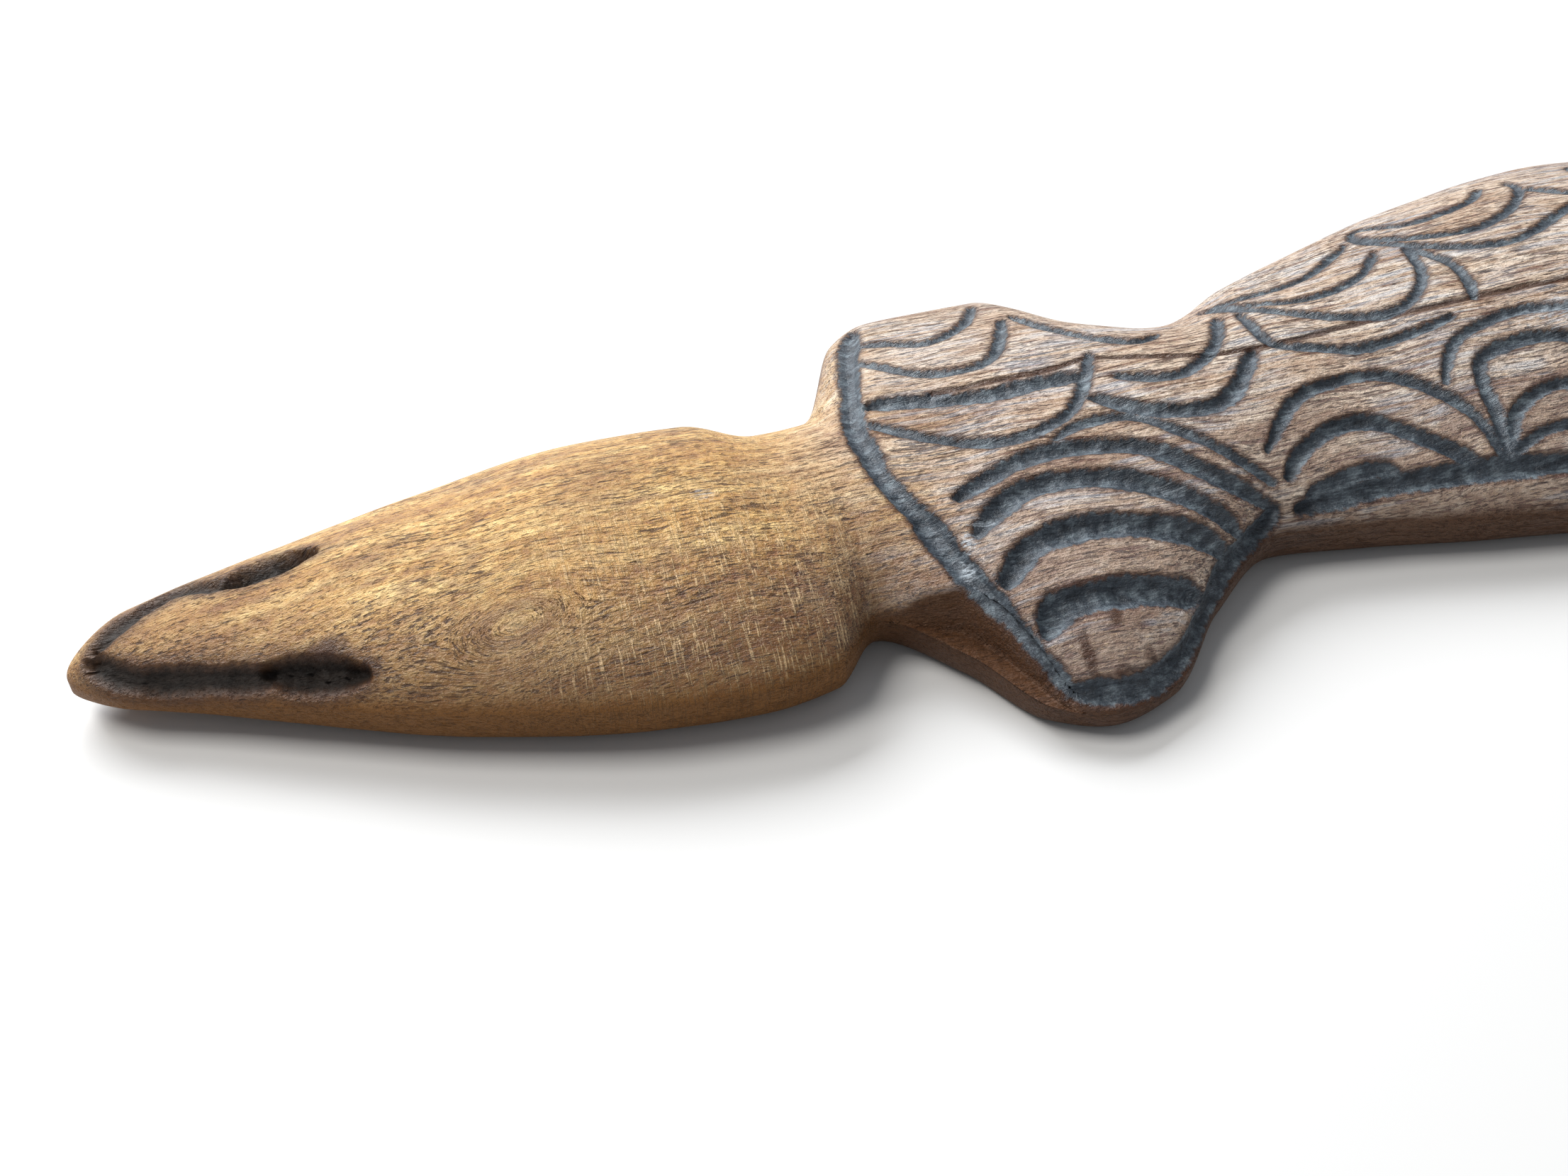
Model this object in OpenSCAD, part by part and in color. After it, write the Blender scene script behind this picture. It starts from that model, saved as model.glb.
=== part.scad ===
// Carved hardwood boomerang shaped as a lizard seen from above, decorated with burnt grooves.
// Plan frame: +X runs from the head arm to the tail, +Y is the outer side of the elbow, +Z is up.
// Origin: on the flat underside, on the spine, half way round the elbow. Lengths in millimetres.
// Every place on the carving is named by its station (distance from the nose along the spine)
// and by its fraction of the half width (+1 at the outer edge, -1 at the inner edge).

/* [Overall] */
// straight run of the spine from the nose to the elbow
head_arm_len = 165; // [150:1:180]
// spine radius round the elbow
elbow_radius = 125; // [110:1:150]
// angle the spine turns through at the elbow
elbow_turn = 55; // [40:1:65]
// straight run of the spine from the elbow to the tail tip
tail_arm_len = 165; // [140:1:185]

/* [Body] */
// multiplies every width across the body and legs
width_scale = 1; // [0.9:0.01:1.1]
// multiplies every height above the underside
height_scale = 1; // [0.85:0.01:1.2]
// rounding length of the nose and of the tail tip
tip_round = 7; // [5:0.5:9]
// how far the lower edge tucks in, as a share of the edge height
undercut = 0.7; // [0.4:0.05:0.9]
// how far the underside lifts at the nose
nose_lift = 3; // [0:0.5:4]
// length over which the lifted nose comes down to the flat underside
nose_lift_len = 40; // [30:5:60]

/* [Burnt grooves] */
// full width of a groove at the surface
groove_w = 2.8; // [2.2:0.1:3.4]
// depth of a groove below the surface
groove_d = 1.1; // [0.8:0.1:1.4]
// full width of an eye slot
eye_w = 4; // [3.4:0.1:4.6]
// thickness of the charred layer lining a groove
char_t = 0.35; // [0.25:0.05:0.45]

/* [Smoothness] */
// widest spacing of the cross sections along the spine
ring_step = 9; // [7:1:12]
// facets across the domed top
top_facets = 12; // [10:2:16]
// longest straight piece of a groove
groove_step = 5.4; // [4:0.1:6]

/* [Hidden] */
WOOD = [0.62, 0.42, 0.25];
CHAR = [0.24, 0.27, 0.31];

elbow_len = elbow_radius * elbow_turn * PI / 180;
tail_start = head_arm_len + elbow_len;
total_len = tail_start + tail_arm_len;
elbow_mid = head_arm_len + elbow_len / 2;

// Columns of a section: station, outer edge, inner edge, crown height, rim height,
// height of the widest line, squareness of the shoulder.
OUTER = 1;
INNER = 2;
CROWN = 3;
RIM = 4;
WIDEST = 5;
SQUARE = 6;
SECTIONS = [
    [0, 7.5, 0.5, 8, 6.5, 5, 4],
    [7, 10.8, 2.5, 9.5, 7, 5.3, 4],
    [20, 14.2, 7.5, 11.5, 8, 5.9, 4],
    [40, 19, 15, 14, 9, 6.5, 4],
    [58, 22, 19.5, 15.5, 9.5, 7, 4],
    [70, 21.5, 20.5, 15, 9.5, 7, 4],
    [78, 18, 19, 14, 9, 6.5, 5],
    [84, 18.6, 13.4, 13.5, 8.5, 6, 6],
    [92, 33, 20, 13.5, 7.5, 5, 8],
    [98, 37.5, 28, 13.5, 6.5, 4, 8],
    [105, 38.5, 30.5, 14, 5.5, 3.5, 8],
    [112, 38.5, 28.5, 14.5, 5.5, 3.5, 8],
    [121, 29.5, 19.5, 15, 7, 4.5, 10],
    [131, 23.6, 13, 15.5, 8, 5, 12],
    [142, 29, 14.5, 15.5, 8, 5, 12],
    [155, 34, 17, 16, 8, 5, 12],
    [170, 39.5, 19.5, 16.5, 8, 5, 12],
    [190, 46, 24.5, 17.5, 8, 5, 12],
    [220, 48, 30, 18, 8, 5, 12],
    [250, 39, 31, 17.5, 8, 5, 12],
    [280, 28, 26, 16.5, 8, 5, 12],
    [298, 20, 19, 15.5, 8, 5, 12],
    [308, 29, 27, 14.5, 6.5, 4, 10],
    [317, 35, 33, 14, 5.5, 3.5, 8],
    [326, 33, 31, 13.5, 5.5, 3.5, 8],
    [334, 19, 18, 13.5, 7, 4.5, 6],
    [342, 15, 15, 13.5, 7.5, 5, 5],
    [380, 13, 13, 12.5, 7, 5, 4],
    [420, 9.5, 9.5, 10, 6.5, 4.5, 4],
    [450, 5, 5, 7, 5.5, 4, 4]
];
LAST = len(SECTIONS) - 1;

// --- smooth values between the sections (no overshoot) ---
function rise(i, c) = (SECTIONS[i + 1][c] - SECTIONS[i][c]) / (SECTIONS[i + 1][0] - SECTIONS[i][0]);
function bend_of(a, b) = a * b <= 0 ? 0 : 2 * a * b / (a + b);
function slope(i, c) =
    i == 0 ? rise(0, c) :
    i == LAST ? rise(LAST - 1, c) :
    bend_of(rise(i - 1, c), rise(i, c));
function span_of(s, i = 0) = i >= LAST - 1 || s < SECTIONS[i + 1][0] ? i : span_of(s, i + 1);
function hermite(q, y0, y1, m0, m1) =
    (1 + 2 * q) * (1 - q) * (1 - q) * y0 + q * (1 - q) * (1 - q) * m0
    + q * q * (3 - 2 * q) * y1 + q * q * (q - 1) * m1;
function value(s, c) =
    let (i = span_of(s), h = SECTIONS[i + 1][0] - SECTIONS[i][0], q = (s - SECTIONS[i][0]) / h)
    hermite(q, SECTIONS[i][c], SECTIONS[i + 1][c], h * slope(i, c), h * slope(i + 1, c));

// The sections are drawn for a spine of 450 mm, so a longer spine stretches them evenly.
function drawn(s) = s * SECTIONS[LAST][0] / total_len;

// --- the spine in plan ---
function spine_turn(s) = min(max((s - head_arm_len) / elbow_radius * 180 / PI, 0), elbow_turn);
function spine_raw(s) =
    let (a = spine_turn(s), tail = max(s - tail_start, 0))
    [min(s, head_arm_len) + elbow_radius * sin(a) + tail * cos(elbow_turn),
     -elbow_radius * (1 - cos(a)) - tail * sin(elbow_turn)];
function place(s, u, z) =
    let (a = spine_turn(s), p = spine_raw(s) - spine_raw(elbow_mid))
    [p[0] + sin(a) * u, p[1] + cos(a) * u, z];

// --- the cross section ---
function round_off(d) = d >= tip_round ? 1 : sqrt(max(0, 1 - pow(1 - max(d, 0) / tip_round, 2)));
function tip(s) = round_off(s) * round_off(total_len - s);
function middle(s) = width_scale * (value(drawn(s), OUTER) - value(drawn(s), INNER)) / 2;
function half(s) = width_scale * tip(s) * (value(drawn(s), OUTER) + value(drawn(s), INNER)) / 2;
function widest(s) = height_scale * value(drawn(s), WIDEST);
function shoulder(t, k) = sqrt(max(0, 1 - pow(abs(t), k)));
function top_z(s, t) =
    let (d = drawn(s), w = value(d, WIDEST), r = value(d, RIM), c = value(d, CROWN))
    height_scale * (w + tip(s) * ((r - w) * shoulder(t, value(d, SQUARE)) + (c - r) * (1 - t * t)));

lower_facets = 3;
tuck_limit = 0.45;
function tuck(s) = min(undercut * widest(s), tuck_limit * half(s));
function low_z(s) = height_scale * nose_lift * pow(max(0, 1 - s / nose_lift_len), 1.5);
function ring(s) =
    let (m = middle(s), h = half(s), w = widest(s), low = low_z(s), k = tuck(s))
    concat(
        [for (i = [0:top_facets]) let (t = cos(180 * i / top_facets)) place(s, m + h * t, top_z(s, t))],
        [for (i = [1:lower_facets]) let (b = 90 * i / lower_facets)
            place(s, m - h + k * (1 - cos(b)), low + (w - low) * (1 - sin(b)))],
        [for (i = [lower_facets:-1:1]) let (b = 90 * i / lower_facets)
            place(s, m + h - k * (1 - cos(b)), low + (w - low) * (1 - sin(b)))]
    );

tip_rings = 5;
// Rings at every section, with more between them where the sections stand far apart.
function clear_of_tips(s) = s > tip_round + 1 && s < total_len - tip_round - 1;
STATIONS = concat(
    [for (i = [1:tip_rings]) tip_round * (1 - cos(90 * i / tip_rings))],
    [for (i = [0:LAST - 1])
        let (gap = SECTIONS[i + 1][0] - SECTIONS[i][0], k = ceil(gap / ring_step))
        for (j = [0:k - 1])
            let (s = (SECTIONS[i][0] + gap * j / k) * total_len / SECTIONS[LAST][0])
            if (clear_of_tips(s)) s],
    [for (i = [tip_rings:-1:1]) total_len - tip_round * (1 - cos(90 * i / tip_rings))]
);

module blank() {
    n = top_facets + 1 + 2 * lower_facets;
    rings = len(STATIONS);
    points = [for (s = STATIONS) each ring(s)];
    sides = [for (r = [0:rings - 2]) for (j = [0:n - 1])
        [r * n + j, (r + 1) * n + j, (r + 1) * n + (j + 1) % n, r * n + (j + 1) % n]];
    nose_cap = [for (j = [0:n - 1]) j];
    tail_cap = [for (j = [n - 1:-1:0]) (rings - 1) * n + j];
    polyhedron(points = points, faces = concat(sides, [nose_cap, tail_cap]), convexity = 8);
}

// --- grooves ---
// A groove follows a smooth line through its [station, fraction] points.
function smooth(a, b, c, d, q) =
    0.5 * (2 * b + (c - a) * q + (2 * a - 5 * b + 4 * c - d) * q * q
    + (3 * b - a - 3 * c + d) * q * q * q);
function on_body(p) = let (s = p[0] * total_len / SECTIONS[LAST][0]) [s, middle(s) + half(s) * p[1]];
function line_of(path) =
    let (p = [for (q = path) on_body(q)], n = len(p) - 1)
    concat([p[0]], [for (i = [0:n - 1])
        let (k = max(1, round(norm(p[i + 1] - p[i]) / groove_step)))
        for (j = [1:k])
            smooth(p[max(i - 1, 0)], p[i], p[i + 1], p[min(i + 2, n)], j / k)]);
function frac(p) = (p[1] - middle(p[0])) / max(half(p[0]), 0.01);
function skin_z(p) = top_z(p[0], min(max(frac(p), -1), 1));

lift = 1.2;
floor_share = 0.4;
end_share = 0.5;
// Four corners of the cutter at point i of a line: two above the surface, two at the floor.
function cutter(line, i, w, d) =
    let (
        last = len(line) - 1,
        a = line[max(i - 1, 0)],
        b = line[min(i + 1, last)],
        dir = (b - a) / norm(b - a),
        side = [-dir[1], dir[0]],
        k = i == 0 || i == last ? end_share : 1,
        wide = side * w * k / 2,
        low = wide * floor_share,
        z = skin_z(line[i]) - d * k
    )
    [for (q = [[line[i] + wide * 1.25, lift], [line[i] - wide * 1.25, lift]])
        place(q[0][0], q[0][1], skin_z(q[0]) + q[1]),
     place(line[i][0] - low[0], line[i][1] - low[1], z),
     place(line[i][0] + low[0], line[i][1] + low[1], z)];

module groove(path, w, d) {
    line = line_of(path);
    last = len(line) - 1;
    points = [for (i = [0:last]) each cutter(line, i, w, d)];
    walls = [for (i = [0:last - 1]) for (j = [0:3])
        [4 * i + j, 4 * i + 4 + j, 4 * i + 4 + (j + 1) % 4, 4 * i + (j + 1) % 4]];
    ends = [[0, 1, 2, 3], [4 * last + 3, 4 * last + 2, 4 * last + 1, 4 * last]];
    polyhedron(points = points, faces = concat(walls, ends), convexity = 8);
}

// An eye is a wider slot, burnt with its middle the widest.
module eye_pit(p, w, d) {
    q = on_body(p);
    translate(place(q[0], q[1], skin_z(q) - d))
        cylinder(h = d + lift, r1 = w * 0.3, r2 = w * 0.5, $fn = 6);
}

module eyes(w, d) {
    for (e = EYES) {
        last = len(e) - 1;
        for (i = [0:last - 1]) hull() {
            eye_pit(e[i], w * bulge(i / last), d);
            eye_pit(e[i + 1], w * bulge((i + 1) / last), d);
        }
    }
}
function bulge(q) = 0.45 + 0.55 * sin(180 * q);

module cut(g) {
    for (p = GROUPS[g]) groove(p, groove_w, groove_d);
    if (g == 0) eyes(eye_w, groove_d);
}

module hollow(g) {
    for (p = GROUPS[g]) groove(p, groove_w - 2 * char_t, groove_d - char_t);
    if (g == 0) eyes(eye_w - 2 * char_t, groove_d - char_t);
}

// Bow from one junction to the next, standing off the edge up to the peak.
function bow(s0, s1, edge, peak) =
    let (w = s1 - s0, e = edge + (peak - edge) * 0.8)
    [[s0, edge], [s0 + 0.16 * w, e], [s0 + 0.5 * w, peak], [s1 - 0.16 * w, e], [s1, edge]];
function fan(s0, s1, edge, peaks) = [for (i = [0:len(peaks) - 1])
    bow(s0 + 1.5 * i, s1 - 1.5 * i, edge, peaks[i])];

EYES = [
    [[17.5, 0.37], [20, 0.39], [22, 0.4], [24, 0.41], [26.5, 0.41]],
    [[20.5, -0.8], [23, -0.81], [25, -0.82], [27, -0.82], [29.5, -0.81]]
];
FACE = [
    [[18, 0.4], [12.5, 0.56], [7.5, 0.3], [3.5, -0.1]],
    [[22, -0.81], [14.5, -0.85], [6.5, -0.8], [3.5, -0.4]]
];
COLLAR = [
    [[95, 0.9], [92, 0.7], [89, 0.4], [88, 0.2], [88.5, -0.18], [91, -0.5], [94.5, -0.74], [97, -0.87],
     [99, -0.95]]
];
NEAR_FORELEG = [
    [[99.5, -0.97], [107, -0.95], [114, -0.95], [122.5, -0.94], [130.5, -0.92]],
    [[101, -0.74], [105, -0.69], [109, -0.7], [115, -0.81], [117.5, -0.9]],
    [[97.5, -0.62], [101.5, -0.48], [108, -0.46], [113.5, -0.54], [119.5, -0.74], [122.5, -0.9]],
    [[96, -0.46], [104, -0.26], [111.5, -0.32], [117.5, -0.48], [122.5, -0.72], [125, -0.89]],
    [[95.5, -0.31], [103.5, -0.15], [109.5, -0.16], [117.5, -0.29], [124, -0.59], [130, -0.9]]
];
FAR_FORELEG = [
    [[94.5, 0.75], [102, 0.6], [107.5, 0.68], [111, 0.84]],
    [[92, 0.65], [97.5, 0.41], [103.5, 0.36], [108, 0.41], [112, 0.63]],
    [[90.5, 0.29], [98, 0.22], [110.5, 0.17], [115.5, 0.15]],
    [[89.5, 0.19], [95, 0], [103, -0.04], [110.5, -0.02], [114.5, 0.08], [118, 0.32]],
    [[113.5, 0.66], [116.5, 0.56], [123.5, 0.47], [127.5, 0.55]],
    [[115, 0.02], [119.5, -0.1], [125.5, -0.23], [130.5, -0.2], [135.5, 0.08]],
    [[119, 0.13], [126, 0.05], [132, 0.26], [135, 0.5]]
];
BACK_NEAR = [
    [[133.5, -0.92], [143.5, -0.88], [151, -0.86], [165, -0.86], [184, -0.86]],
    [[131.5, -0.62], [137, -0.36], [143, -0.31], [148.5, -0.34], [153, -0.46], [158, -0.8]],
    [[133, -0.78], [135.5, -0.66], [140, -0.57], [144.5, -0.57], [149, -0.67], [156, -0.86]],
    [[159, -0.65], [160, -0.39], [165.5, -0.32], [172, -0.34], [184, -0.48]],
    [[159.5, -0.78], [162, -0.62], [169, -0.55], [182, -0.66]],
    [[155, -0.44], [157.5, -0.29], [161, -0.21], [167.5, -0.17], [174, -0.2], [184, -0.26]]
];
BACK_FAR = [
    [[135.5, 0.78], [144.5, 0.56], [151, 0.56], [158, 0.7]],
    [[135, 0.7], [142.5, 0.38], [149, 0.3], [155, 0.36], [159.5, 0.51]],
    [[134.5, 0.62], [141, 0.26], [147.5, 0.11], [153.5, 0.03], [158, 0.08], [162, 0.38]],
    [[163, 0.5], [164.5, 0.3], [165, 0.1], [164, -0.04]],
    [[161, 0.8], [167.5, 0.64], [173, 0.66], [175.5, 0.74]],
    [[160.5, 0.7], [165.5, 0.49], [171.5, 0.41], [177, 0.48], [181, 0.7]],
    [[160, 0.6], [166, 0.36], [171.5, 0.26], [176.5, 0.27], [183, 0.46]],
    [[138, 0.48], [138.5, 0.07], [143.5, -0.08], [148, -0.17], [156, -0.14], [160.5, -0.11]]
];
ELBOW = concat(
    [[[186, -0.86], [215, -0.87], [250, -0.87], [290, -0.88]]],
    fan(190, 225, -0.78, [-0.12, -0.45]),
    fan(228, 260, -0.78, [-0.12, -0.45]),
    fan(263, 290, -0.78, [-0.3]),
    fan(188, 220, 0.76, [0.14, 0.46]),
    fan(223, 255, 0.76, [0.14, 0.46]),
    fan(258, 288, 0.76, [0.28])
);
HIND_LEGS = [for (side = [-1, 1]) each [
    [[301, 0.85 * side], [307, 0.91 * side], [317, 0.93 * side], [325, 0.92 * side], [330, 0.88 * side]],
    bow(304, 331, 0.66 * side, 0.16 * side),
    bow(307, 329, 0.68 * side, 0.4 * side),
    bow(310, 327, 0.77 * side, 0.62 * side)
]];
TAIL = [
    [[338, -0.8], [335.5, -0.45], [335, 0], [335.5, 0.45], [338, 0.8]],
    [[346, -0.8], [344, -0.45], [343.5, 0], [344, 0.45], [346, 0.8]]
];
GROUPS = [FACE, COLLAR, NEAR_FORELEG, FAR_FORELEG, BACK_NEAR, BACK_FAR, ELBOW, HIND_LEGS, TAIL];

// The solid wood with every groove cut out of it.
module carved_wood() {
    color(WOOD) difference() {
        blank();
        for (g = [0:len(GROUPS) - 1]) cut(g);
    }
}

// The charred layer lining one group of grooves; where two groups cross, the earlier one keeps it.
module lining(g) {
    color(CHAR) difference() {
        intersection() {
            blank();
            cut(g);
        }
        for (i = [0:len(GROUPS) - 1]) hollow(i);
        if (g > 0) for (i = [0:g - 1]) cut(i);
    }
}

carved_wood();
lining(0);  // char_face
lining(1);  // char_collar
lining(2);  // char_near_foreleg
lining(3);  // char_far_foreleg
lining(4);  // char_back_near
lining(5);  // char_back_far
lining(6);  // char_elbow
lining(7);  // char_hind_legs
lining(8);  // char_tail
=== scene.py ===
"""Looks of a carved and burnt hardwood boomerang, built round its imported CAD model.

The carving is one fine grid, laid out by the same sections and spine as the CAD solid. Every place
on it is named by its station (millimetres from the nose along the spine) and by its fraction of the
half width (+1 at the outer edge of the elbow, -1 at the inner edge).
"""
import math

import bpy
import numpy as np
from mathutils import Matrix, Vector


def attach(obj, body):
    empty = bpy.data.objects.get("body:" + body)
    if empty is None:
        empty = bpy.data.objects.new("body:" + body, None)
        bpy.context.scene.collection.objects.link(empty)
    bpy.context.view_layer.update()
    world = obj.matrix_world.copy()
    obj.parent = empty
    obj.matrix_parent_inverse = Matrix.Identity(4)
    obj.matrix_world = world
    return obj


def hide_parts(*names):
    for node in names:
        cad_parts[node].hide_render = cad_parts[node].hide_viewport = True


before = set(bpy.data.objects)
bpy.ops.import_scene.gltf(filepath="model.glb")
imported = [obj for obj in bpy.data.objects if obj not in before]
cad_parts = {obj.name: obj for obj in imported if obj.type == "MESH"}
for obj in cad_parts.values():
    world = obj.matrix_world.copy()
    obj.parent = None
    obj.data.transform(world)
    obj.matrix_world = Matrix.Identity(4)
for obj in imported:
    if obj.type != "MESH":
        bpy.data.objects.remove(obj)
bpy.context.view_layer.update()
MM = 0.001

# ---------------------------------------------------------------- sizes, in millimetres
HEAD_ARM = 165.0
ELBOW_RADIUS = 125.0
ELBOW_TURN = math.radians(55)
TAIL_ARM = 165.0
TIP_ROUND = 7.0
UNDERCUT = 0.7
TUCK_LIMIT = 0.45
NOSE_LIFT = 3.0
NOSE_LIFT_LENGTH = 40.0
TAIL_START = HEAD_ARM + ELBOW_RADIUS * ELBOW_TURN
LENGTH = TAIL_START + TAIL_ARM
ELBOW_MID = (HEAD_ARM + TAIL_START) / 2

# station, outer edge, inner edge, crown, rim, widest, squareness of the shoulder
SECTIONS = np.array([
    [0, 7.5, 0.5, 8, 6.5, 5, 4],
    [7, 10.8, 2.5, 9.5, 7, 5.3, 4],
    [20, 14.2, 7.5, 11.5, 8, 5.9, 4],
    [40, 19, 15, 14, 9, 6.5, 4],
    [58, 22, 19.5, 15.5, 9.5, 7, 4],
    [70, 21.5, 20.5, 15, 9.5, 7, 4],
    [78, 18, 19, 14, 9, 6.5, 5],
    [84, 18.6, 13.4, 13.5, 8.5, 6, 6],
    [92, 33, 20, 13.5, 7.5, 5, 8],
    [98, 37.5, 28, 13.5, 6.5, 4, 8],
    [105, 38.5, 30.5, 14, 5.5, 3.5, 8],
    [112, 38.5, 28.5, 14.5, 5.5, 3.5, 8],
    [121, 29.5, 19.5, 15, 7, 4.5, 10],
    [131, 23.6, 13, 15.5, 8, 5, 12],
    [142, 29, 14.5, 15.5, 8, 5, 12],
    [155, 34, 17, 16, 8, 5, 12],
    [170, 39.5, 19.5, 16.5, 8, 5, 12],
    [190, 46, 24.5, 17.5, 8, 5, 12],
    [220, 48, 30, 18, 8, 5, 12],
    [250, 39, 31, 17.5, 8, 5, 12],
    [280, 28, 26, 16.5, 8, 5, 12],
    [298, 20, 19, 15.5, 8, 5, 12],
    [308, 29, 27, 14.5, 6.5, 4, 10],
    [317, 35, 33, 14, 5.5, 3.5, 8],
    [326, 33, 31, 13.5, 5.5, 3.5, 8],
    [334, 19, 18, 13.5, 7, 4.5, 6],
    [342, 15, 15, 13.5, 7.5, 5, 5],
    [380, 13, 13, 12.5, 7, 5, 4],
    [420, 9.5, 9.5, 10, 6.5, 4.5, 4],
    [450, 5, 5, 7, 5.5, 4, 4],
])
OUTER, INNER, CROWN, RIM, WIDEST, SQUARE = range(1, 7)


# ---------------------------------------------------------------- the shape
def section_value(station, column):
    """A column of the section table at any station, smooth and without overshoot."""
    x, y = SECTIONS[:, 0], SECTIONS[:, column]
    rise = np.diff(y) / np.diff(x)
    slope = np.concatenate([rise[:1], np.zeros(len(rise) - 1), rise[-1:]])
    a, b = rise[:-1], rise[1:]
    same = a * b > 0
    slope[1:-1][same] = 2 * a[same] * b[same] / (a[same] + b[same])
    station = np.asarray(station, float)
    i = np.clip(np.searchsorted(x, station, side="right") - 1, 0, len(x) - 2)
    gap = x[i + 1] - x[i]
    q = (station - x[i]) / gap
    p = 1 - q
    return ((1 + 2 * q) * p * p * y[i] + q * p * p * gap * slope[i]
            + q * q * (1 + 2 * p) * y[i + 1] - q * q * p * gap * slope[i + 1])


def spine(station):
    """Plan position and turn of the spine, with the middle of the elbow at the origin."""
    def raw(s):
        turn = np.clip((s - HEAD_ARM) / ELBOW_RADIUS, 0, ELBOW_TURN)
        tail = np.maximum(s - TAIL_START, 0)
        x = np.minimum(s, HEAD_ARM) + ELBOW_RADIUS * np.sin(turn) + tail * math.cos(ELBOW_TURN)
        y = -ELBOW_RADIUS * (1 - np.cos(turn)) - tail * math.sin(ELBOW_TURN)
        return x, y, turn
    x, y, turn = raw(np.asarray(station, float))
    x0, y0, _ = raw(ELBOW_MID)
    return x - x0, y - y0, turn


def place(station, across, height):
    """Row-frame point of a place on the carving, in millimetres."""
    x, y, turn = spine(station)
    return np.stack([x + np.sin(turn) * across, y + np.cos(turn) * across,
                     height + np.zeros_like(x)], -1)


def tip_share(station):
    """How far the rounded nose and tail tip have opened out, 0 to 1."""
    def round_off(d):
        d = np.clip(d, 0, TIP_ROUND) / TIP_ROUND
        return np.sqrt(np.maximum(0, 1 - (1 - d) ** 2))
    return round_off(station) * round_off(LENGTH - station)


def middle_and_half(station):
    outer, inner = section_value(station, OUTER), section_value(station, INNER)
    return (outer - inner) / 2, tip_share(station) * (outer + inner) / 2


def top_height(station, fraction):
    widest, rim, crown, square = (section_value(station, c) for c in (WIDEST, RIM, CROWN, SQUARE))
    t = np.clip(np.abs(fraction), 0, 1)
    shoulder = np.sqrt(np.maximum(0, 1 - t ** square))
    return widest + tip_share(station) * ((rim - widest) * shoulder + (crown - rim) * (1 - t * t))


def low_height(station):
    """Height of the underside, which is flat but for the lifted nose."""
    return NOSE_LIFT * np.clip(1 - np.asarray(station, float) / NOSE_LIFT_LENGTH, 0, 1) ** 1.5


def tuck_at(station):
    """How far the lower edge tucks in under the widest line."""
    half = middle_and_half(station)[1]
    return np.minimum(UNDERCUT * section_value(station, WIDEST), TUCK_LIMIT * half)


def on_top(station, fraction):
    middle, half = middle_and_half(station)
    return place(station, middle + half * fraction, top_height(station, fraction))


# ---------------------------------------------------------------- the burnt lines
BOW_RUN = 0.16  # share of a bow's length that its steep end takes
BOW_RISE = 0.8  # share of the way to its peak that the steep end climbs
FAN_STEP = 1.5  # how far each bow of a fan starts inside the one before, in millimetres


def bow(start, end, edge, peak):
    """A line from one junction to the next that stands off the edge up to the peak."""
    w, e = end - start, edge + (peak - edge) * BOW_RISE
    return [(start, edge), (start + BOW_RUN * w, e), (start + 0.5 * w, peak),
            (end - BOW_RUN * w, e), (end, edge)]


def fan(start, end, edge, peaks):
    """Nested bows that share one edge."""
    return [bow(start + FAN_STEP * i, end - FAN_STEP * i, edge, p) for i, p in enumerate(peaks)]


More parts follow.
